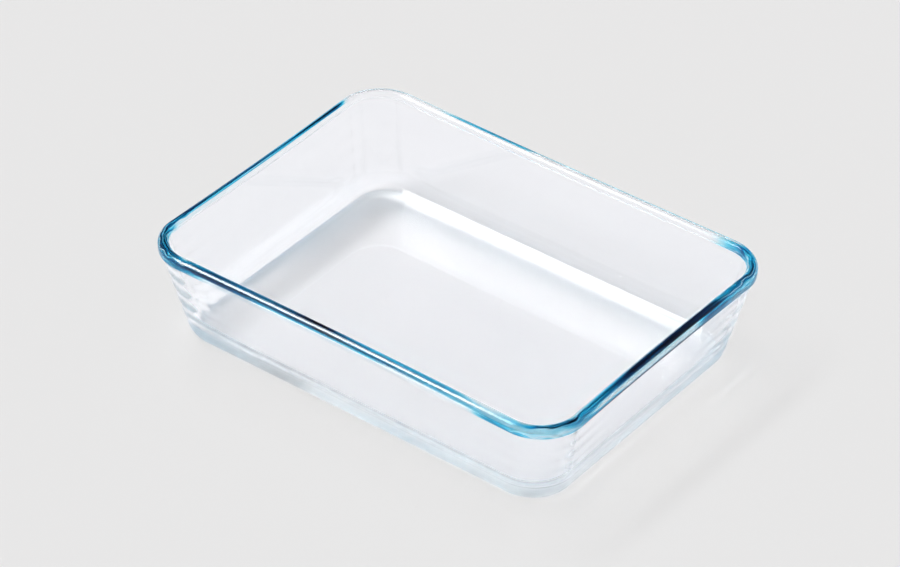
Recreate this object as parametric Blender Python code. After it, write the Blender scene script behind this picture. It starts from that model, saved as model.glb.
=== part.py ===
"""Rectangular glass baking dish, pressed from borosilicate glass in one piece.

Metres, +Z up. The origin is the middle of the base, on the surface that the dish
stands on. +X runs along the long side and +Y along the short side.

The dish is one closed section carried round a rounded rectangle. The section goes
from the recessed underside over the foot ring, round the heel, up the drafted
wall, round the thick lip, down the inner wall and through the wide inner fillet
to the cooking floor. Its corner radius changes from level to level, so the shape
is a loft between unlike outlines and not one outline scaled.
"""
import math
from collections import namedtuple

import bmesh
import bpy

# Overall sizes, over the outside of the lip
RIM_LENGTH = 0.270
RIM_WIDTH = 0.198
RIM_CORNER_RADIUS = 0.026
DISH_HEIGHT = 0.058

# The middle of each long and short side is drawn in a little as the glass cools
SIDE_WAIST = 0.0009

# Outer faces of the walls, carried down to the table past the rounded heel
BASE_LENGTH = 0.244
BASE_WIDTH = 0.175
BASE_CORNER_RADIUS = 0.023

# Lip: a bead that stands proud of the wall, with a rounded top and a flat outer face
LIP_WIDTH = 0.0058
LIP_HEIGHT = 0.0056
LIP_OVERHANG = 0.0015
LIP_OUTER_TOP_RADIUS = 0.0022
LIP_INNER_TOP_RADIUS = 0.0020
LIP_LOWER_RADIUS = 0.0008
LIP_COVE_RADIUS = 0.0007

# Body of the glass
WALL_FOOT_THICKNESS = 0.0048
FLOOR_THICKNESS = 0.0050
INNER_FILLET_RADIUS = 0.014
FLOOR_CORNER_RADIUS = 0.014
HEEL_RADIUS = 0.0070

# Underside: a narrow flat ring carries the dish, and the panel inside it is recessed
FOOT_RING_WIDTH = 0.0065
FOOT_RECESS = 0.0008
RECESS_SLOPE = 0.0016

# Smoothness of the solid
CORNER_SEGMENTS = 10
SIDE_SEGMENTS = 8
FILLET_SEGMENTS = 8
HEEL_SEGMENTS = 6
LIP_SEGMENTS = 5
COVE_SEGMENTS = 3
WALL_SEGMENTS = 4
SMALLEST_CORNER = 0.0005
SMOOTH_ANGLE = math.radians(30)

GLASS_COLOUR = (0.90, 0.95, 0.97, 1.0)
GLASS_ROUGHNESS = 0.0
GLASS_METALLIC = 0.0
GLASS_IOR = 1.47

# One level's outline in plan: a rounded rectangle whose sides draw in by the waist
Outline = namedtuple("Outline", "length width corner waist")


def inset(outline, distance):
    """The same outline, moved inwards by a distance all round."""
    corner = max(outline.corner - distance, SMALLEST_CORNER)
    return Outline(outline.length - 2 * distance, outline.width - 2 * distance, corner, outline.waist)


def blend(low, high, share):
    """The outline a share of the way from the low one to the high one."""
    return Outline(*(a + (b - a) * share for a, b in zip(low, high)))


def outline_points(outline, height):
    """Points round an outline at a height, anticlockwise, corner by corner."""
    half_length = outline.length / 2
    half_width = outline.width / 2
    corner = outline.corner
    centres = [
        (half_length - corner, -half_width + corner),
        (half_length - corner, half_width - corner),
        (-half_length + corner, half_width - corner),
        (-half_length + corner, -half_width + corner),
    ]
    points = []
    for number, (cx, cy) in enumerate(centres):
        start = math.radians(90 * (number - 1))
        for step in range(CORNER_SEGMENTS + 1):
            angle = start + math.radians(90) * step / CORNER_SEGMENTS
            points.append((cx + corner * math.cos(angle), cy + corner * math.sin(angle), height))
        next_x, next_y = centres[(number + 1) % len(centres)]
        outward = (math.cos(start + math.radians(90)), math.sin(start + math.radians(90)))
        for step in range(1, SIDE_SEGMENTS):
            share = step / SIDE_SEGMENTS
            reach = corner - outline.waist * 4 * share * (1 - share)
            x = cx + (next_x - cx) * share + outward[0] * reach
            y = cy + (next_y - cy) * share + outward[1] * reach
            points.append((x, y, height))
    return points


def arc(centre_out, centre_up, radius, start, end, segments):
    """Points of an arc in the section, as (outward, up). Angles from outward, upwards positive."""
    points = []
    for step in range(segments + 1):
        angle = math.radians(start + (end - start) * step / segments)
        points.append((centre_out + radius * math.cos(angle), centre_up + radius * math.sin(angle)))
    return points


def rounding_run(radius, lean):
    """How far a rounded corner reaches along a level face, where that face meets a leaning wall."""
    return radius * (1 - math.sin(lean)) / math.cos(lean)


RIM = Outline(RIM_LENGTH, RIM_WIDTH, RIM_CORNER_RADIUS, SIDE_WAIST)
BASE = Outline(BASE_LENGTH, BASE_WIDTH, BASE_CORNER_RADIUS, 0.0)
SHOULDER_HEIGHT = DISH_HEIGHT - LIP_HEIGHT
SHOULDER = inset(RIM, LIP_OVERHANG)
INNER_RIM = inset(RIM, LIP_WIDTH)
INNER_BASE = inset(BASE, WALL_FOOT_THICKNESS)


def draft_angle(low, high, rise):
    """Lean of a wall from upright, in radians, taken as the mean of its long and short sides."""
    spread = (high.length - low.length + high.width - low.width) / 4
    return math.atan2(spread, rise)


def wall_level(height, outward=0.0):
    """Outline of the outer wall's drafted face at a height, moved outward by a distance."""
    return inset(blend(BASE, SHOULDER, height / SHOULDER_HEIGHT), -outward)


def underside_levels():
    """Recessed panel's edge, the slope down to the foot ring, and the ring's inner edge."""
    lean = draft_angle(BASE, SHOULDER, SHOULDER_HEIGHT)
    ring_inner = rounding_run(HEEL_RADIUS, lean) + FOOT_RING_WIDTH
    return [
        (inset(BASE, ring_inner + RECESS_SLOPE), FOOT_RECESS),
        (inset(BASE, ring_inner), 0.0),
    ]


def heel_levels():
    """Rounded heel, from the foot ring's outer edge to where it meets the drafted wall."""
    lean = draft_angle(BASE, SHOULDER, SHOULDER_HEIGHT)
    centre_out = -rounding_run(HEEL_RADIUS, lean)
    heel = arc(centre_out, HEEL_RADIUS, HEEL_RADIUS, -90, -math.degrees(lean), HEEL_SEGMENTS)
    return [(wall_level(up, outward - up * math.tan(lean)), up) for outward, up in heel]


def wall_levels(heel_top):
    """Straight drafted wall, from the top of the heel to the cove under the lip."""
    wall_top = SHOULDER_HEIGHT - LIP_COVE_RADIUS
    levels = []
    for step in range(1, WALL_SEGMENTS + 1):
        height = heel_top + (wall_top - heel_top) * step / WALL_SEGMENTS
        levels.append((wall_level(height), height))
    return levels


def lip_levels():
    """Lip: the cove below it, its lower edge, flat outer face, rounded top and inner edge."""
    cove_out = -LIP_OVERHANG + LIP_COVE_RADIUS
    cove = arc(cove_out, SHOULDER_HEIGHT - LIP_COVE_RADIUS, LIP_COVE_RADIUS, 180, 90, COVE_SEGMENTS)
    lower_up = SHOULDER_HEIGHT + LIP_LOWER_RADIUS
    lower = arc(-LIP_LOWER_RADIUS, lower_up, LIP_LOWER_RADIUS, -90, 0, LIP_SEGMENTS)
    outer_up = DISH_HEIGHT - LIP_OUTER_TOP_RADIUS
    outer_top = arc(-LIP_OUTER_TOP_RADIUS, outer_up, LIP_OUTER_TOP_RADIUS, 0, 90, LIP_SEGMENTS)
    lean = draft_angle(INNER_BASE, INNER_RIM, DISH_HEIGHT - FLOOR_THICKNESS)
    inner_out = -LIP_WIDTH + rounding_run(LIP_INNER_TOP_RADIUS, lean)
    inner_up = DISH_HEIGHT - LIP_INNER_TOP_RADIUS
    inner_top = arc(inner_out, inner_up, LIP_INNER_TOP_RADIUS, 90, 180 - math.degrees(lean), LIP_SEGMENTS)
    section = cove[1:] + lower + outer_top + inner_top
    return [(inset(RIM, -outward), up) for outward, up in section]


def inner_levels(lip_bottom):
    """Inner wall, and the wide fillet that turns it into the cooking floor."""
    rise = DISH_HEIGHT - FLOOR_THICKNESS
    lean = draft_angle(INNER_BASE, INNER_RIM, rise)
    fillet_run = rounding_run(INNER_FILLET_RADIUS, lean)
    centre_up = FLOOR_THICKNESS + INNER_FILLET_RADIUS
    fillet = arc(-fillet_run, centre_up, INNER_FILLET_RADIUS, -math.degrees(lean), -90, FILLET_SEGMENTS)
    fillet_top = fillet[0][1]
    levels = []
    for step in range(1, WALL_SEGMENTS):
        height = lip_bottom + (fillet_top - lip_bottom) * step / WALL_SEGMENTS
        levels.append((blend(INNER_BASE, INNER_RIM, (height - FLOOR_THICKNESS) / rise), height))
    for outward, up in fillet:
        wall = blend(INNER_BASE, INNER_RIM, (up - FLOOR_THICKNESS) / rise)
        run = (up - FLOOR_THICKNESS) * math.tan(lean) - outward
        turned = run / fillet_run
        corner = wall.corner + (FLOOR_CORNER_RADIUS - wall.corner) * turned
        waist = wall.waist * (1 - turned)
        levels.append((Outline(wall.length - 2 * run, wall.width - 2 * run, corner, waist), up))
    return levels


def section_levels():
    """Every level of the section in order, from the underside's panel to the cooking floor."""
    heel = heel_levels()
    lip = lip_levels()
    return underside_levels() + heel + wall_levels(heel[-1][1]) + lip + inner_levels(lip[-1][1])


def carry_round(mesh, levels):
    """Start from the recessed panel as one face and extrude it from level to level."""
    first, height = levels[0]
    panel = mesh.faces.new([mesh.verts.new(point) for point in outline_points(first, height)])
    face = panel
    for outline, height in levels[1:]:
        grown = bmesh.ops.extrude_face_region(mesh, geom=[face])
        if face is not panel:
            bmesh.ops.delete(mesh, geom=[face], context="FACES_ONLY")
        face = next(item for item in grown["geom"] if isinstance(item, bmesh.types.BMFace))
        for loop, point in zip(face.loops, outline_points(outline, height)):
            loop.vert.co = point
    bmesh.ops.recalc_face_normals(mesh, faces=mesh.faces)


def glass_material():
    """Clear pressed glass."""
    material = bpy.data.materials.new("clear_glass")
    material.use_nodes = True
    shader = material.node_tree.nodes["Principled BSDF"]
    shader.inputs["Base Color"].default_value = GLASS_COLOUR
    shader.inputs["Roughness"].default_value = GLASS_ROUGHNESS
    shader.inputs["Metallic"].default_value = GLASS_METALLIC
    shader.inputs["IOR"].default_value = GLASS_IOR
    shader.inputs["Transmission Weight"].default_value = 1.0
    material.diffuse_color = GLASS_COLOUR
    return material


def build_dish(collection):
    """The dish: one closed solid of glass."""
    mesh = bmesh.new()
    carry_round(mesh, section_levels())
    data = bpy.data.meshes.new("dish")
    mesh.to_mesh(data)
    mesh.free()
    data.shade_smooth()
    data.set_sharp_from_angle(angle=SMOOTH_ANGLE)
    dish = bpy.data.objects.new("dish", data)
    dish.data.materials.append(glass_material())
    collection.objects.link(dish)
    return dish


def main():
    for old in list(bpy.data.objects):
        bpy.data.objects.remove(old, do_unlink=True)
    collection = bpy.data.collections.new("glass_baking_dish")
    bpy.context.scene.collection.children.link(collection)
    dish = build_dish(collection)
    print("dish:", len(dish.data.vertices), "vertices,", len(dish.data.polygons), "faces")


main()
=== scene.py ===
# %% [markdown]
# A rectangular glass baking dish, pressed in one piece, on a pale studio floor.
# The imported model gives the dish's real size and place. This script makes the
# fine glass that is seen, its finish, the floor, the light and the camera.

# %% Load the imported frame
import math
from collections import namedtuple

import bmesh
import bpy
from mathutils import Matrix, Vector

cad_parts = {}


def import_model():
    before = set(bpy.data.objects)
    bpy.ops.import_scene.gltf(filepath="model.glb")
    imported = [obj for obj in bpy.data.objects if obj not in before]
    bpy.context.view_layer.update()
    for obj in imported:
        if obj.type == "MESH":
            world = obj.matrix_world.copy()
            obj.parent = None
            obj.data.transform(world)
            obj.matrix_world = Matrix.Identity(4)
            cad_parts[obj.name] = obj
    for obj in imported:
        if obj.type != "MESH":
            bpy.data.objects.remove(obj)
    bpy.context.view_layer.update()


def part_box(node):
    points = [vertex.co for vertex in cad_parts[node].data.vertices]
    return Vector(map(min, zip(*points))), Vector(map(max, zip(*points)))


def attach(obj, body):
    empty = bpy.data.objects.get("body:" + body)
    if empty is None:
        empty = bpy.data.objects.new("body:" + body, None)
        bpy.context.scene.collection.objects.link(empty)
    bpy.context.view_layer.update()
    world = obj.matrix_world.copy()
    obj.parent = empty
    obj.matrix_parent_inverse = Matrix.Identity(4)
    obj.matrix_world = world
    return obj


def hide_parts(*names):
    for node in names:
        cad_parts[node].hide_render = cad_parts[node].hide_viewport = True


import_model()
DISH_LOW, DISH_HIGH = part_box("dish")
RIM_LENGTH, RIM_WIDTH, DISH_HEIGHT = (DISH_HIGH[i] - DISH_LOW[i] for i in range(3))
print("dish, mm:", [round(1000 * size, 1) for size in (RIM_LENGTH, RIM_WIDTH, DISH_HEIGHT)])

# %% [markdown]
# The camera looks down over the near corner from about 2.3 m, through a long
# lens, so the far sides stay nearly as long as the near ones. Its direction, roll
# and distance were found by fitting the dish's own outlines. The middle of the
# dish doesn't land on the middle of the picture, so the camera steps aside a
# little and needs no lens shift.

# %% Camera
PICTURE_WIDTH = 900
PICTURE_HEIGHT = 567
SENSOR_WIDTH_MM = 36.0
FOCAL_PIXELS = 4366.3
CAMERA_DISTANCE = 2.2973
CAMERA_AZIMUTH = math.radians(37.32)
CAMERA_ELEVATION = math.radians(36.88)
CAMERA_ROLL = math.radians(0.726)
CAMERA_REACH = 50.0
DISH_CENTRE_PIXEL = (456.4, 294.4)


def place_camera():
    """Put the camera where the middle of the dish lands on its pixel."""
    back = Vector((
        math.sin(CAMERA_AZIMUTH) * math.cos(CAMERA_ELEVATION),
        -math.cos(CAMERA_AZIMUTH) * math.cos(CAMERA_ELEVATION),
        math.sin(CAMERA_ELEVATION),
    ))
    level_right = Vector((math.cos(CAMERA_AZIMUTH), math.sin(CAMERA_AZIMUTH), 0.0))
    level_up = back.cross(level_right)
    right = level_right * math.cos(CAMERA_ROLL) + level_up * math.sin(CAMERA_ROLL)
    up = back.cross(right)
    aside = (DISH_CENTRE_PIXEL[0] - PICTURE_WIDTH / 2) / FOCAL_PIXELS * CAMERA_DISTANCE
    below = (DISH_CENTRE_PIXEL[1] - PICTURE_HEIGHT / 2) / FOCAL_PIXELS * CAMERA_DISTANCE
    centre = Vector((0.0, 0.0, DISH_HEIGHT / 2))
    place = centre - right * aside + up * below + back * CAMERA_DISTANCE
    data = bpy.data.cameras.new("camera")
    data.sensor_width = SENSOR_WIDTH_MM
    data.lens = FOCAL_PIXELS / PICTURE_WIDTH * SENSOR_WIDTH_MM
    data.clip_end = CAMERA_REACH
    camera = bpy.data.objects.new("camera", data)
    camera.matrix_world = Matrix.Translation(place) @ Matrix((right, up, back)).transposed().to_4x4()
    bpy.context.scene.collection.objects.link(camera)
    bpy.context.scene.camera = camera
    return camera


camera = place_camera()
print("camera at", [round(value, 3) for value in camera.location], "lens", round(camera.data.lens, 1))

# %% [markdown]
# The real dish is one gob of glass pressed between a mould and a plunger, so it has
# no seams. It could be cut from a block and its edges rounded afterwards, but its
# walls lean, and its corners grow rounder on the way up. So it is one skin: an
# outline carried from level to level, from the underside round the heel, up the
# wall, round the lip and down to the cooking floor. Sizes here are millimetres,
# because glass is drawn in them.

# %% Sizes of the glass, in millimetres
MM = 0.001
LENGTH = RIM_LENGTH / MM
WIDTH = RIM_WIDTH / MM
HEIGHT = DISH_HEIGHT / MM
RIM_CORNER = 26.0
SIDE_WAIST = 0.9
BASE_LENGTH = 244.0
BASE_WIDTH = 175.0
BASE_CORNER = 23.0
LIP_WIDTH = 5.8
LIP_HEIGHT = 5.6
LIP_OVERHANG = 1.5
LIP_OUTER_TOP = 2.2
LIP_INNER_TOP = 2.0
LIP_LOWER = 0.8
LIP_COVE = 0.7
WALL_FOOT = 4.8
FLOOR = 5.0
FLOOR_CORNER = 14.0
print("lip, mm:", LIP_WIDTH, "wide,", LIP_HEIGHT, "high; wall at the foot:", WALL_FOOT)

# %% Outlines
CORNER_STEPS = 24
SIDE_STEPS = 40
SMALLEST_CORNER = 0.5
Outline = namedtuple("Outline", "length width corner waist")


def inset(outline, distance):
    """The same outline, moved inwards by a distance all round."""
    corner = max(outline.corner - distance, SMALLEST_CORNER)
    return Outline(outline.length - 2 * distance, outline.width - 2 * distance, corner, outline.waist)


def between(low, high, share):
    """The outline a share of the way from the low one to the high one."""
    return Outline(*(a + (b - a) * share for a, b in zip(low, high)))


RIM = Outline(LENGTH, WIDTH, RIM_CORNER, SIDE_WAIST)
BASE = Outline(BASE_LENGTH, BASE_WIDTH, BASE_CORNER, 0.0)
SHOULDER = HEIGHT - LIP_HEIGHT
INNER_RIM = inset(RIM, LIP_WIDTH)
INNER_BASE = inset(BASE, WALL_FOOT)
print("mouth, mm:", round(INNER_RIM.length, 1), "x", round(INNER_RIM.width, 1))

# %% [markdown]
# Hot glass chills in waves against the mould, so the outside of a pressed dish
# carries faint level ripples, strongest at the corners. A bump in the material could
# stand in for them, but they are real relief here, up to a quarter of a millimetre
# high, because it is their bending of the light that shows.

# %% Ripples on the outer wall
RIPPLE_PITCH = 9.4
RIPPLE_SIZES = (0.07, 0.14, 0.06, 0.24)
RIPPLE_REACH = 16.0
RIPPLE_LOW = 4.0
RIPPLE_HIGH = 50.0
RIPPLE_STEP = 2.3


def ripple(height, corner_number):
    """Outward swell of a corner at a height, in millimetres. The near corner is number 0."""
    share = min(max((height - RIPPLE_LOW) / (RIPPLE_HIGH - RIPPLE_LOW), 0.0), 1.0)
    fade = max(math.sin(math.pi * share), 0.0) ** 0.5
    phase = (height + RIPPLE_STEP * corner_number) / RIPPLE_PITCH
    return RIPPLE_SIZES[corner_number] * fade * math.sin(2 * math.pi * phase)


def outline_points(outline, height, rippled):
    """Points round an outline at a height, in metres, anticlockwise."""
    corner = outline.corner
    far_x, far_y = outline.length / 2 - corner, outline.width / 2 - corner
    centres = [(far_x, -far_y), (far_x, far_y), (-far_x, far_y), (-far_x, -far_y)]
    swell = [ripple(height, number) if rippled else 0.0 for number in range(4)]
    points = []
    for number, (cx, cy) in enumerate(centres):
        start = math.radians(90 * (number - 1))
        for step in range(CORNER_STEPS + 1):
            angle = start + math.radians(90) * step / CORNER_STEPS
            reach = corner + swell[number]
            points.append(Vector((cx + reach * math.cos(angle), cy + reach * math.sin(angle), height)) * MM)
        next_x, next_y = centres[(number + 1) % 4]
        side = abs(next_x - cx) + abs(next_y - cy)
        outward = Vector((math.cos(start + math.radians(90)), math.sin(start + math.radians(90))))
        for step in range(1, SIDE_STEPS):
            share = step / SIDE_STEPS
            near = math.exp(-((side * share / RIPPLE_REACH) ** 2))
            far = math.exp(-((side * (1 - share) / RIPPLE_REACH) ** 2))
            reach = corner - outline.waist * 4 * share * (1 - share)
            reach += swell[number] * near + swell[(number + 1) % 4] * far
            x = cx + (next_x - cx) * share + outward.x * reach
            y = cy + (next_y - cy) * share + outward.y * reach
            points.append(Vector((x, y, height)) * MM)
    return points


print("ripples at the corners, mm:", RIPPLE_SIZES, "every", RIPPLE_PITCH)

# %% [markdown]
# The section through the wall is all soft bends. Arcs would do for every one of
# them, and do for the small bends of the lip. The heel and the inner fillet are seen
# through the glass, where the sudden start of an arc could draw a line, so their
# curvature swells and fades.

# %% Bends in the section
BEND_FINENESS = 20
BEND_EASE = 0.85


def arc(centre_out, centre_up, radius, start, end, steps):
    """Points of an arc in the section, as (outward, up)."""
    turns = (math.radians(start + (end - start) * step / steps) for step in range(steps + 1))
    return [(centre_out + radius * math.cos(a), centre_up + radius * math.sin(a)) for a in turns]


def lean_of(low, high, rise):
    """Lean of a wall from upright, in radians."""
    return math.atan2((high.length - low.length + high.width - low.width) / 4, rise)


def run_of(radius, lean):
    """How far a rounded corner reaches along a level face, where that face meets a leaning wall."""
    return radius * (1 - math.sin(lean)) / math.cos(lean)


def easy_bend(lean, run, steps):
    """A bend, with swelling and fading curvature, from a level face up to a leaning wall."""
    count = steps * BEND_FINENESS
    points = [(0.0, 0.0)]
    for step in range(count):
        share = (step + 0.5) / count
        eased = share - math.sin(2 * math.pi * share) / (2 * math.pi) * BEND_EASE
        slope = (math.pi / 2 - lean) * eased
        outward, up = points[-1]
        points.append((outward + math.cos(slope), up + math.sin(slope)))
    end_out, end_up = points[-1]
    corner_out = end_out - end_up * math.tan(lean)
    scale = run / corner_out
    return [((outward - corner_out) * scale, up * scale) for outward, up in points[::BEND_FINENESS]]


# %% The section, level by level
WALL_STEPS = 70
BEND_STEPS = 30
COVE_STEPS = 5
LOWER_STEPS = 6
LIP_STEPS = 10
UNDERSIDE_DEPTHS = (76, 60, 40, 25, 14, 10, 8.2)
FLOOR_DEPTHS = (0.5, 2, 5, 9, 15, 25, 40, 60)
HEEL_RUN = 7.5
FILLET_RUN = 14.5
OUTER_LEAN = lean_of(BASE, inset(RIM, LIP_OVERHANG), SHOULDER)
INNER_LEAN = lean_of(INNER_BASE, INNER_RIM, HEIGHT - FLOOR)
Level = namedtuple("Level", "outline height rippled")


def outer_wall(height, outward=0.0):
    """Outline of the outer wall at a height, moved outward by a distance."""
    return inset(between(BASE, inset(RIM, LIP_OVERHANG), height / SHOULDER), -outward)


def underside():
    """The flat panel under the dish, from its middle outwards."""
    return [Level(inset(BASE, depth), 0.0, False) for depth in UNDERSIDE_DEPTHS]


def heel():
    """Rounded heel between the underside and the outer wall."""
    bend = easy_bend(OUTER_LEAN, HEEL_RUN, BEND_STEPS)
    return [Level(outer_wall(up, outward - up * math.tan(OUTER_LEAN)), up, True) for outward, up in bend]


def wall(bottom):
    """Leaning outer wall."""
    rise = SHOULDER - LIP_COVE - bottom
    heights = [bottom + rise * step / WALL_STEPS for step in range(1, WALL_STEPS + 1)]
    return [Level(outer_wall(height), height, True) for height in heights]


def lip():
    """Cove, lower edge, outer face, rounded top and inner edge of the lip."""
    section = arc(-LIP_OVERHANG + LIP_COVE, SHOULDER - LIP_COVE, LIP_COVE, 180, 90, COVE_STEPS)[1:]
    section += arc(-LIP_LOWER, SHOULDER + LIP_LOWER, LIP_LOWER, -90, 0, LOWER_STEPS)
    section += arc(-LIP_OUTER_TOP, HEIGHT - LIP_OUTER_TOP, LIP_OUTER_TOP, 0, 90, LIP_STEPS)
    centre = -LIP_WIDTH + run_of(LIP_INNER_TOP, INNER_LEAN)
    end = 180 - math.degrees(INNER_LEAN)
    section += arc(centre, HEIGHT - LIP_INNER_TOP, LIP_INNER_TOP, 90, end, LIP_STEPS)
    return [Level(inset(RIM, -outward), up, False) for outward, up in section]


def inside(top):
    """Inner wall, fillet and cooking floor."""
    rise = HEIGHT - FLOOR
    bend = easy_bend(INNER_LEAN, FILLET_RUN, BEND_STEPS)[::-1]
    levels = []
    bend_top = FLOOR + bend[0][1]
    for step in range(1, WALL_STEPS):
        height = top + (bend_top - top) * step / WALL_STEPS
        levels.append(Level(between(INNER_BASE, INNER_RIM, (height - FLOOR) / rise), height, False))
    for outward, up in bend:
        face = between(INNER_BASE, INNER_RIM, up / rise)
        reach = up * math.tan(INNER_LEAN) - outward
        share = reach / FILLET_RUN
        corner = face.corner + (FLOOR_CORNER - face.corner) * share
        waist = face.waist * (1 - share)
        outline = Outline(face.length - 2 * reach, face.width - 2 * reach, corner, waist)
        levels.append(Level(outline, FLOOR + up, False))
    edge = levels[-1].outline
    levels += [Level(inset(edge, depth), FLOOR, False) for depth in FLOOR_DEPTHS]
    return levels


print("lean of the walls, degrees:", [round(math.degrees(lean), 1) for lean in (OUTER_LEAN, INNER_LEAN)])

# %% [markdown]
# The skin could be built as loose rings and bridged. Here one face grows instead: it
# starts as the middle of the underside, is extruded from level to level and ends as
# the middle of the cooking floor, so the glass is closed all the way. Each point also
# keeps how far it lies along the section, which the painted light and shade of the
# lip needs.

# %% Carry the outline round the section
def section_lengths(levels, start):
    """How far each level is along the section from the start of the lip, in millimetres."""
    lengths = [0.0]
    for low, high in zip(levels, levels[1:]):
        step = math.hypot((high.outline.length - low.outline.length) / 2, high.height - low.height)
        lengths.append(lengths[-1] + step)
    return [length - lengths[start] for length in lengths]


def dish_mesh():
    """Start from the middle of the underside as one face and extrude it from level to level."""
    bottom = underside() + heel()
    outside = bottom + wall(bottom[-1].height)
    top = lip()
    levels = outside + top + inside(top[-1].height)
    lengths = section_lengths(levels, len(outside) - 1)
    print("lip section, mm:", round(lengths[len(outside) + len(top) - 1], 2))
    mesh = bmesh.new()
    section = mesh.verts.layers.float.new("section")
    panel = mesh.faces.new([mesh.verts.new(point) for point in outline_points(*levels[0])])
    for vert in panel.verts:
        vert[section] = lengths[0]
    face = panel
    for level, length in zip(levels[1:], lengths[1:]):
        grown = bmesh.ops.extrude_face_region(mesh, geom=[face])
        if face is not panel:
            bmesh.ops.delete(mesh, geom=[face], context="FACES_ONLY")
        face = next(item for item in grown["geom"] if isinstance(item, bmesh.types.BMFace))
        for loop, point in zip(face.loops, outline_points(*level)):
            loop.vert.co = point
            loop.vert[section] = length
    bmesh.ops.recalc_face_normals(mesh, faces=mesh.faces)
    data = bpy.data.meshes.new("glass_dish")
    mesh.to_mesh(data)
    mesh.free()
    data.shade_smooth()
    return data


glass_dish = bpy.data.objects.new("glass_dish", dish_mesh())
bpy.context.scene.collection.objects.link(glass_dish)
print("glass:", len(glass_dish.data.polygons), "faces")

# %% [markdown]
# A finish is worked out by many small nodes. Wiring them one by one is long to read,
# so a socket is wrapped in a class that turns plus, minus, times and divided by into
# nodes, and the sums below read like sums.

# %% Shader maths
class Maths:
    """A socket in a node tree that can be added, multiplied and so on."""

    def __init__(self, tree, socket):
        self.tree = tree
        self.socket = socket

    def _do(self, operation, other, swap=False):
        made = self.tree.nodes.new("ShaderNodeMath")
        made.operation = operation
        pair = (other, self) if swap else (self, other)
        for slot, value in zip(made.inputs, pair):
            put(self.tree, slot, value)
        return Maths(self.tree, made.outputs[0])

    def __add__(self, other):
        return self._do("ADD", other)

    def __mul__(self, other):
        return self._do("MULTIPLY", other)

    def __sub__(self, other):
        return self._do("SUBTRACT", other)

    def __rsub__(self, other):
        return self._do("SUBTRACT", other, swap=True)

    def __truediv__(self, other):
        return self._do("DIVIDE", other)

    __radd__ = __add__


def put(tree, slot, value):
    """Link a socket or set a plain value."""
    if isinstance(value, Maths):
        tree.links.new(value.socket, slot)
    else:
        slot.default_value = value


def node(tree, kind, settings=(), values=(), output=0):
    """Any other node: its settings first, then its sockets' values or links."""
    made = tree.nodes.new(kind)
    for name, value in dict(settings).items():
        setattr(made, name, value)
    for name, value in dict(values).items():
        put(tree, made.inputs[name], value)
    return Maths(tree, made.outputs[output])


def axes(tree, place):
    """The x, y and z of a place."""
    split = tree.nodes.new("ShaderNodeSeparateXYZ")
    put(tree, split.inputs[0], place)
    return [Maths(tree, socket) for socket in split.outputs]


# %% [markdown]
# The glass is clear across the thin walls and blue where light runs a long way
# inside it. Plain absorption in the volume gives the walls their trace of blue. It
# could tint the lip too, where the light of the whole wall comes out, but a glass
# dark enough for that has walls that are too blue. So the lip's blue and near-black,
# which are light and shade carried through the glass, are painted into its colour
# by where it is, and stay there from any side: each band of painted light and shade
# runs along the lip, from one distance along the section to another, in millimetres,
# and deepens and fades with the turn round the dish. The turn is 0 at the middle of
# the left side, a quarter at the front, a half at the right and three quarters at
# the back.

# %% Painted light and shade of the lip, band by band
# Colours of the lip's painted light and shade, from clear glass to near-black.
PAINTED_LIP_COLOURS = (
    (0.0, (1.0, 1.0, 1.0)),
    (0.12, (0.22, 0.73, 0.90)),
    (0.23, (0.008, 0.44, 0.76)),
    (0.36, (0.0, 0.18, 0.48)),
    (0.52, (0.0, 0.030, 0.16)),
    (0.70, (0.0, 0.0012, 0.018)),
    (1.0, (0.0, 0.0, 0.0001)),
)
Band = namedtuple("Band", "low high turns")
COVE = Band(0.0, 1.4, (
    (0.07, 0.0), (0.09, 0.30), (0.11, 0.50), (0.135, 0.12), (0.35, 0.10), (0.38, 0.50), (0.41, 0.15),
    (0.43, 0.50), (0.455, 0.95), (0.55, 1.00), (0.57, 0.50), (0.61, 0.50), (0.63, 0.0),
))
LOWER_FACE = Band(1.4, 3.3, (
    (0.07, 0.0), (0.09, 0.50), (0.12, 0.40), (0.135, 0.03), (0.36, 0.03), (0.375, 0.45), (0.41, 0.15),
    (0.425, 0.70), (0.45, 1.00), (0.55, 1.00), (0.565, 0.55), (0.61, 0.50), (0.63, 0.0),
))
MIDDLE_FACE = Band(3.3, 4.4, (
    (0.07, 0.0), (0.09, 0.50), (0.12, 0.50), (0.135, 0.04), (0.36, 0.02), (0.372, 0.45), (0.39, 0.12),
    (0.415, 0.08), (0.425, 0.45), (0.45, 0.30), (0.46, 0.06), (0.53, 0.06), (0.545, 0.55), (0.61, 0.45),
    (0.63, 0.0),
))
UPPER_FACE = Band(4.4, 5.5, (
    (0.07, 0.0), (0.09, 0.55), (0.14, 0.60), (0.165, 0.50), (0.18, 0.20), (0.20, 0.35), (0.28, 0.25),
    (0.30, 0.06), (0.36, 0.10), (0.372, 0.40), (0.39, 0.12), (0.41, 0.10), (0.422, 0.40), (0.435, 0.04),
    (0.53, 0.04), (0.545, 0.50), (0.61, 0.45), (0.63, 0.0),
))
OUTER_EDGE = Band(5.5, 6.8, (
    (0.07, 0.0), (0.09, 0.55), (0.13, 0.75), (0.15, 0.60), (0.19, 0.65), (0.215, 0.80), (0.226, 1.20),
    (0.245, 1.20), (0.255, 0.60), (0.30, 0.42), (0.36, 0.32), (0.375, 0.22), (0.39, 0.12), (0.41, 0.18),
    (0.425, 0.55), (0.44, 0.08), (0.53, 0.08), (0.545, 0.55), (0.57, 0.34), (0.61, 0.34), (0.63, 0.0),
))
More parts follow.
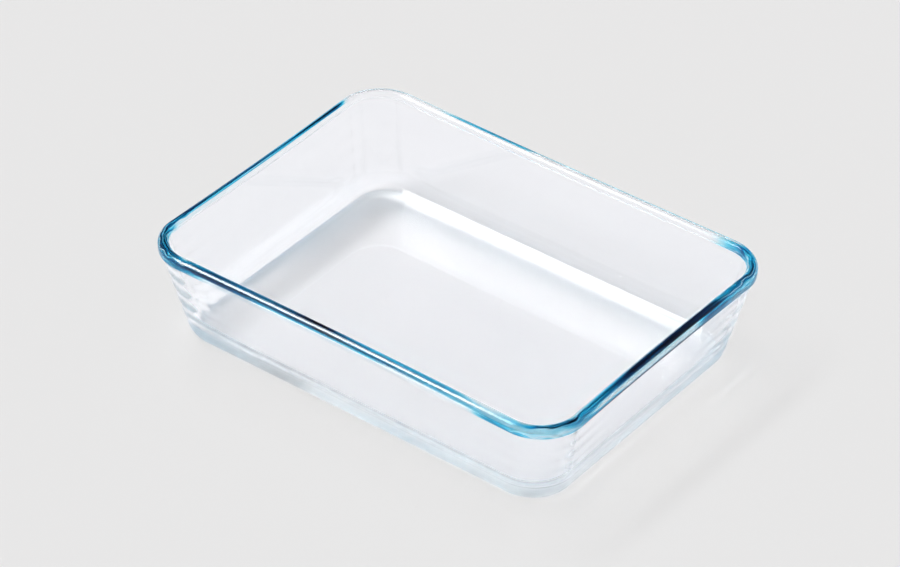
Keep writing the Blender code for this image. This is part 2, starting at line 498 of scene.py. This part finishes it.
HIGHLIGHT = Band(6.8, 8.4, (
    (0.00, 0.50), (0.08, 0.62), (0.105, 0.70), (0.12, 0.00), (0.36, 0.00), (0.385, 0.15), (0.40, 0.10),
    (0.42, 0.40), (0.45, 0.60), (0.465, 0.95), (0.55, 1.05), (0.565, 0.30), (0.59, 0.45), (0.605, 0.28),
    (0.615, 0.16), (0.78, 0.20), (0.79, 0.40), (0.845, 0.50), (0.86, 0.10), (0.92, 0.05), (0.93, 0.45),
    (1.00, 0.50),
))
TOP_OUTER = Band(8.4, 9.6, (
    (0.00, 0.75), (0.07, 0.75), (0.085, 0.70), (0.105, 0.75), (0.118, 0.55), (0.135, 0.75), (0.20, 0.75),
    (0.213, 0.95), (0.225, 1.30), (0.235, 1.20), (0.243, 0.66), (0.30, 0.52), (0.35, 0.42), (0.375, 0.12),
    (0.39, 0.20), (0.405, 0.65), (0.415, 0.90), (0.422, 0.45), (0.43, 0.55), (0.46, 0.70), (0.472, 1.30),
    (0.553, 1.35), (0.562, 0.38), (0.575, 0.34), (0.59, 0.58), (0.605, 0.36), (0.615, 0.0), (0.78, 0.0),
    (0.80, 0.28), (0.85, 0.38), (0.87, 0.0), (0.92, 0.0),
))
TOP_OUTER_FAR = Band(8.4, 9.6, ((0.92, 0.00), (0.93, 0.75), (0.95, 0.85), (0.965, 0.72), (1.00, 0.72)))
TOP_INNER = Band(9.6, 10.8, (
    (0.00, 0.32), (0.07, 0.35), (0.08, 0.62), (0.105, 0.68), (0.118, 0.20), (0.14, 0.60), (0.20, 0.64),
    (0.213, 0.85), (0.225, 1.15), (0.235, 1.05), (0.243, 0.58), (0.30, 0.45), (0.35, 0.30), (0.37, 0.0),
    (0.40, 0.40), (0.415, 0.80), (0.422, 0.40), (0.46, 0.55), (0.472, 0.95), (0.55, 1.05), (0.56, 0.30),
    (0.59, 0.50), (0.603, 0.28), (0.613, 0.00), (0.92, 0.00), (0.93, 0.55), (0.96, 0.32), (1.00, 0.32),
))
INNER_EDGE = Band(10.8, 13.2, (
    (0.00, 0.00), (0.08, 0.05), (0.09, 0.40), (0.10, 0.45), (0.11, 0.15), (0.12, 0.00), (0.37, 0.00),
    (0.40, 0.06), (0.42, 0.06), (0.55, 0.0), (0.56, 0.30), (0.595, 0.45), (0.605, 0.25), (0.613, 0.00),
    (1.00, 0.00),
))
BANDS = (
    COVE, LOWER_FACE, MIDDLE_FACE, UPPER_FACE, OUTER_EDGE,
    HIGHLIGHT, TOP_OUTER, TOP_OUTER_FAR, TOP_INNER, INNER_EDGE,
)
print("lip tinted in", len(BANDS), "bands")

# %% [markdown]
# Pressed glass is never quite even, and the light in its lip shows it. Along the
# front the painted bands bow inwards with the softbox's white line, fine painted
# streaks of light and shade run along them, and they wander into painted swirls at
# the corners, where the streaks also raise the lip a little through a bump. Drawing
# each streak would take hundreds of values, so noise draws them, stretched along
# the lip. The underside is slightly matt, as a mould leaves it.

# %% Unevenness of the glass, and streaks in the lip's painted light and shade
BAND_EDGE = 0.2
LIP_LIMITS = (0.2, 12.8)
LIP_LIMITS_EDGE = 0.3
BOW_LEVEL = 0.4
# How far the painted bands move inwards, in millimetres once BOW_LEVEL is taken off, so they bow with the
# softbox's white line.
BOW = ((0.11, 0.40), (0.19, 0.80), (0.25, 0.95), (0.32, 0.65), (0.375, 0.05), (0.40, 0.40), (1.00, 0.40))
CORNERS = (
    (0.06, 0.0), (0.09, 1.0), (0.115, 1.0), (0.14, 0.0), (0.37, 0.0), (0.39, 1.0), (0.415, 1.0), (0.435, 0.0),
    (0.55, 0.0), (0.57, 1.0), (0.60, 1.0), (0.62, 0.0), (0.87, 0.0), (0.90, 0.5), (0.92, 0.0),
)
# Noise that streaks and swirls the lip's painted light and shade.
STREAK_ALONG = 0.05
STREAK_ACROSS = 0.6
STREAK_DETAIL = 2.0
STREAK_CONTRAST = 2.8
SWIRL_CONTRAST = 5.0
WANDER_SIZE = 0.009
WANDER_ACROSS = 0.15
WANDER_DETAIL = 1.0
WANDER_CORNER = 5.0
LIP_WAVES = 0.00003
UNDERSIDE = (0.0002, 0.0012)
UNDERSIDE_MATT = 0.3
print("streaks, mm:", STREAK_ACROSS, "across and", round(STREAK_ALONG / MM), "along")


# %% Ramps, ranges and noise
def smooth(tree, value, low, high):
    """0 below the low value, 1 above the high one, and smooth between."""
    return node(
        tree, "ShaderNodeMapRange", {"interpolation_type": "SMOOTHSTEP"},
        {"Value": value, "From Min": low, "From Max": high},
    )


def inside_range(tree, value, limits, edge):
    """1 where a value is between two limits, with a soft edge."""
    up = smooth(tree, value, limits[0] - edge, limits[0] + edge)
    return up * (1 - smooth(tree, value, limits[1] - edge, limits[1] + edge))


def ramp(tree, value, stops, interpolation="LINEAR"):
    """A colour ramp with the given stops."""
    made = tree.nodes.new("ShaderNodeValToRGB")
    made.color_ramp.interpolation = interpolation
    points = made.color_ramp.elements
    while len(points) < len(stops):
        points.new(0.5)
    for point, (position, colour) in zip(points, stops):
        point.position = position
        point.color = (*colour, 1.0)
    put(tree, made.inputs[0], value)
    return Maths(tree, made.outputs[0])


def level_ramp(tree, value, stops):
    """A ramp of plain numbers."""
    return ramp(tree, value, [(position, (level, level, level)) for position, level in stops], "EASE")


def noise_at(tree, x, y, size, section, detail):
    """Smooth noise from 0 to 1, of a given size along the lip."""
    place = node(tree, "ShaderNodeCombineXYZ", values={0: x * (1 / size), 1: y * (1 / size), 2: section})
    return node(tree, "ShaderNodeTexNoise", values={"Vector": place, "Scale": 1.0, "Detail": detail})


# %% Glass
GLASS_IOR = 1.474
ABSORPTION_COLOUR = (0.10, 0.60, 0.85, 1.0)
ABSORPTION_DENSITY = 0.6
# Two outputs that are picked by number: the place on the object, and a stored number.
OBJECT_PLACE = 3
ATTRIBUTE_VALUE = 2


def painted_lip_light(tree, x, y, section):
    """The painted light and shade of the lip at a place, and how much the streaks there raise it."""
    turn = node(tree, "ShaderNodeMath", {"operation": "ARCTAN2"}, {0: y, 1: x})
    around = turn * (0.5 / math.pi) + 0.5
    corner = level_ramp(tree, around, CORNERS)
    wander = noise_at(tree, x, y, WANDER_SIZE, section * WANDER_ACROSS, WANDER_DETAIL) - 0.5
    shifted = section + wander * corner * WANDER_CORNER - (level_ramp(tree, around, BOW) - BOW_LEVEL)
    streak = noise_at(tree, x, y, STREAK_ALONG, shifted * (1 / STREAK_ACROSS), STREAK_DETAIL)
    depth = 0.0
    for band in BANDS:
        inside_band = inside_range(tree, shifted, (band.low, band.high), BAND_EDGE)
        depth = inside_band * level_ramp(tree, around, band.turns) + depth
    lip_mask = inside_range(tree, section, LIP_LIMITS, LIP_LIMITS_EDGE)
    contrast = corner * (SWIRL_CONTRAST - STREAK_CONTRAST) + STREAK_CONTRAST
    depth = depth * ((streak - 0.5) * contrast + 1) * lip_mask
    return ramp(tree, depth, PAINTED_LIP_COLOURS), streak * corner * lip_mask


def glass_material():
    """Clear glass with a lip whose painted light and shade turn it blue and dark band by band."""
    material = bpy.data.materials.new("clear_glass")
    material.use_nodes = True
    tree = material.node_tree
    shader = tree.nodes["Principled BSDF"]
    x, y, z = axes(tree, node(tree, "ShaderNodeTexCoord", output=OBJECT_PLACE))
    section = node(tree, "ShaderNodeAttribute", {"attribute_name": "section"}, output=ATTRIBUTE_VALUE)
    # The lip's painted light and shade go into the base colour.
    tint, swell = painted_lip_light(tree, x, y, section)
    put(tree, shader.inputs["Base Color"], tint)
    waves = node(tree, "ShaderNodeBump", values={"Distance": LIP_WAVES, "Height": swell})
    put(tree, shader.inputs["Normal"], waves)
    limits = {"From Min": UNDERSIDE[0], "From Max": UNDERSIDE[1], "To Min": UNDERSIDE_MATT, "To Max": 0.0}
    under = node(tree, "ShaderNodeMapRange", values={"Value": z, **limits})
    put(tree, shader.inputs["Roughness"], under)
    shader.inputs["IOR"].default_value = GLASS_IOR
    shader.inputs["Transmission Weight"].default_value = 1.0
    inside_glass = tree.nodes.new("ShaderNodeVolumeAbsorption")
    inside_glass.inputs["Color"].default_value = ABSORPTION_COLOUR
    inside_glass.inputs["Density"].default_value = ABSORPTION_DENSITY
    out = tree.nodes["Material Output"]
    tree.links.new(inside_glass.outputs[0], out.inputs["Volume"])
    return material


glass_dish.data.materials.append(glass_material())
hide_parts("dish")
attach(glass_dish, "root")
print("refraction:", GLASS_IOR, "absorption:", ABSORPTION_DENSITY)

# %% [markdown]
# The dish stands on a white table in front of a flat grey background. A table with
# a backdrop behind it could do that, but the two have no edge between them, so one
# floor does both. The camera sees it grey, and mostly as its own glow, so the dish's
# shadow on it is faint. The glass sees it white, with painted light and shade: a
# little lighter under the dish, a little darker towards the camera, and with a
# painted shadow under the left and far edges of the dish's floor.

# %% Sizes and colours of the floor
FLOOR_GAP = 0.0002
FLOOR_SIZE = 14.0
BACKGROUND_LIT = (0.282, 0.282, 0.282, 1.0)
BACKGROUND_GLOW = (0.535, 0.531, 0.531, 1.0)
TABLE_AROUND = (0.915, 0.918, 0.950, 1.0)
# Painted light: the table is lighter under the dish.
TABLE_UNDER_PAINTED_LIGHT = (0.965, 0.960, 0.985, 1.0)
# Painted shade: the table is darker towards the camera.
TABLE_NEAR_PAINTED_SHADE = (0.840, 0.850, 0.885, 1.0)
# Painted shadow under the left and far edges of the dish's floor.
TABLE_EDGE_PAINTED_SHADOW = (0.640, 0.680, 0.730, 1.0)
NO_GLOW = (0.0, 0.0, 0.0, 1.0)
# Painted shade darkens the table towards the camera, along x and across y, and half as much under the dish.
NEAR_ALONG = 0.6
NEAR_ACROSS = 0.5
NEAR_UNDER = 0.5
TABLE_START = 0.11
TABLE_FADE = 0.31
# The dish's footprint, where the table is painted lighter and its painted shade is halved.
FOOTPRINT = (0.118, 0.084)
FOOTPRINT_EDGE = 0.006
# The painted shadow under the left and far edges of the dish's floor: where it lies and how it fades.
EDGE_PLACE = (-0.114, 0.077)
EDGE_ROUNDING = 0.022
EDGE_LEAD = 0.12
EDGE_SHADOW_FADE = (
    (0.0, 0.0), (EDGE_LEAD, 0.0), (0.20, 0.70), (0.28, 0.75), (0.45, 0.44), (0.65, 0.16), (0.9, 0.0),
)
EDGE_REACH = 0.032
EDGE_FRONT = (-0.03, 0.03)

# %% Mixing colours
# A mix node repeats its sockets for numbers, vectors and colours. These are for colours.
MIX_SHARE = 0
MIX_FIRST = 6
MIX_SECOND = 7
MIX_COLOUR = 2


def mix_colours(tree, share, first, second):
    """One colour where the share is 0 and another where it is 1."""
    sockets = {MIX_SHARE: share, MIX_FIRST: first, MIX_SECOND: second}
    return node(tree, "ShaderNodeMix", {"data_type": "RGBA"}, sockets, output=MIX_COLOUR)


# %% Floor material
def table_colour(tree):
    """The table as the glass sees it: white, lighter under the dish, darker towards the camera and shadowed
    under two edges, all painted.
    """
    x, y = axes(tree, node(tree, "ShaderNodeTexCoord", output=OBJECT_PLACE))[:2]
    under = inside_range(tree, x, (-FOOTPRINT[0], FOOTPRINT[0]), FOOTPRINT_EDGE)
    under = under * inside_range(tree, y, (-FOOTPRINT[1], FOOTPRINT[1]), FOOTPRINT_EDGE)
    nearness = (x * NEAR_ALONG - y * NEAR_ACROSS + TABLE_START) * (1 / TABLE_FADE)
    nearness = nearness * (1 - under * NEAR_UNDER)
    from_edge = node(
        tree, "ShaderNodeMath", {"operation": "SMOOTH_MIN"},
        {0: x - EDGE_PLACE[0], 1: EDGE_PLACE[1] - y, 2: EDGE_ROUNDING},
    )
    edge = level_ramp(tree, from_edge * (1 / EDGE_REACH) + EDGE_LEAD, EDGE_SHADOW_FADE)
    edge = edge * under * smooth(tree, y, *EDGE_FRONT)
    table = mix_colours(tree, under, TABLE_AROUND, TABLE_UNDER_PAINTED_LIGHT)
    table = mix_colours(tree, nearness, table, TABLE_NEAR_PAINTED_SHADE)
    return mix_colours(tree, edge, table, TABLE_EDGE_PAINTED_SHADOW)


def floor_material():
    """Grey with a glow for the camera, white for the glass."""
    material = bpy.data.materials.new("pale_floor")
    material.use_nodes = True
    tree = material.node_tree
    shader = tree.nodes["Principled BSDF"]
    seen = node(tree, "ShaderNodeLightPath")
    put(tree, shader.inputs["Base Color"], mix_colours(tree, seen, table_colour(tree), BACKGROUND_LIT))
    put(tree, shader.inputs["Emission Color"], mix_colours(tree, seen, NO_GLOW, BACKGROUND_GLOW))
    shader.inputs["Emission Strength"].default_value = 1.0
    shader.inputs["Roughness"].default_value = 1.0
    shader.inputs["Specular IOR Level"].default_value = 0.0
    return material


# %% Floor
def floor():
    """A wide pale floor."""
    mesh = bmesh.new()
    bmesh.ops.create_grid(mesh, x_segments=1, y_segments=1, size=FLOOR_SIZE / 2)
    bmesh.ops.translate(mesh, verts=mesh.verts, vec=(0.0, 0.0, -FLOOR_GAP))
    data = bpy.data.meshes.new("floor")
    mesh.to_mesh(data)
    mesh.free()
    made = bpy.data.objects.new("floor", data)
    bpy.context.scene.collection.objects.link(made)
    data.materials.append(floor_material())


floor()
print("floor:", FLOOR_SIZE, "m wide,", round(FLOOR_GAP / MM, 2), "mm under the dish")

# %% [markdown]
# A studio lights such a dish with a white room and one long softbox. Lamps near the
# dish could do it, but they would light the floor unevenly. So all the light comes
# from far off: a pale sky that is brightest near the horizon and dark high up behind
# the dish on the left, and the softbox overhead to the left, whose mirror images are
# the white strip along the far wall and the white line along the front of the lip.

# %% Sky and softbox
WHITE = (1.0, 1.0, 1.0, 1.0)
SKY = 0.72
BACK_LEFT = 0.10
BACK = (0.05, 0.40)
LEFT = (-0.10, 0.45)
HORIZON = 0.85
HORIZON_HEIGHT = (0.12, 0.35)
SOFTBOX = 9.0
SOFTBOX_ACROSS = (-0.74, -0.50)
SOFTBOX_ALONG = (-0.64, 0.52)
SOFTBOX_HEIGHT = (0.08, 0.12)
SOFTBOX_EDGE = 0.02
LOWEST_RISE = 0.05


def blend(mask, there, elsewhere):
    """One level where the mask is 1 and another where it is 0."""
    return elsewhere + mask * (there - elsewhere)


def world():
    """A pale sky, bright near the horizon, dark high up behind the dish, with a long softbox overhead."""
    made = bpy.data.worlds.new("studio")
    made.use_nodes = True
    tree = made.node_tree
    x, y, z = axes(tree, node(tree, "ShaderNodeTexCoord"))
    back = smooth(tree, y, *BACK)
    left = 1 - smooth(tree, x, *LEFT)
    level = blend(back * left, BACK_LEFT, SKY)
    level = blend(1 - smooth(tree, z, *HORIZON_HEIGHT), HORIZON, level)
    rise = node(tree, "ShaderNodeMath", {"operation": "MAXIMUM"}, {0: z, 1: LOWEST_RISE})
    panel = inside_range(tree, x / rise, SOFTBOX_ACROSS, SOFTBOX_EDGE) * smooth(tree, z, *SOFTBOX_HEIGHT)
    panel = panel * inside_range(tree, y / rise, SOFTBOX_ALONG, SOFTBOX_EDGE)
    background = tree.nodes["Background"]
    put(tree, background.inputs["Strength"], level + panel * SOFTBOX)
    background.inputs["Color"].default_value = WHITE
    bpy.context.scene.world = made


world()
print("sky:", SKY, "horizon:", HORIZON, "softbox:", SOFTBOX)

# %% [markdown]
# Light crosses the walls of a glass dish and bounces inside its lip dozens of times.
# Low limits would be quicker but would cut the longest paths short, so the limits are
# high. The glossy filter is off, because it blurs light that has met a matt surface.

# %% Render limits for thick glass
BOUNCES = 96
DIFFUSE_BOUNCES = 6
scene = bpy.context.scene
scene.view_settings.view_transform = "Standard"
scene.cycles.max_bounces = BOUNCES
scene.cycles.transmission_bounces = BOUNCES
scene.cycles.glossy_bounces = BOUNCES
scene.cycles.diffuse_bounces = DIFFUSE_BOUNCES
scene.cycles.blur_glossy = 0.0
print("bounces:", BOUNCES)
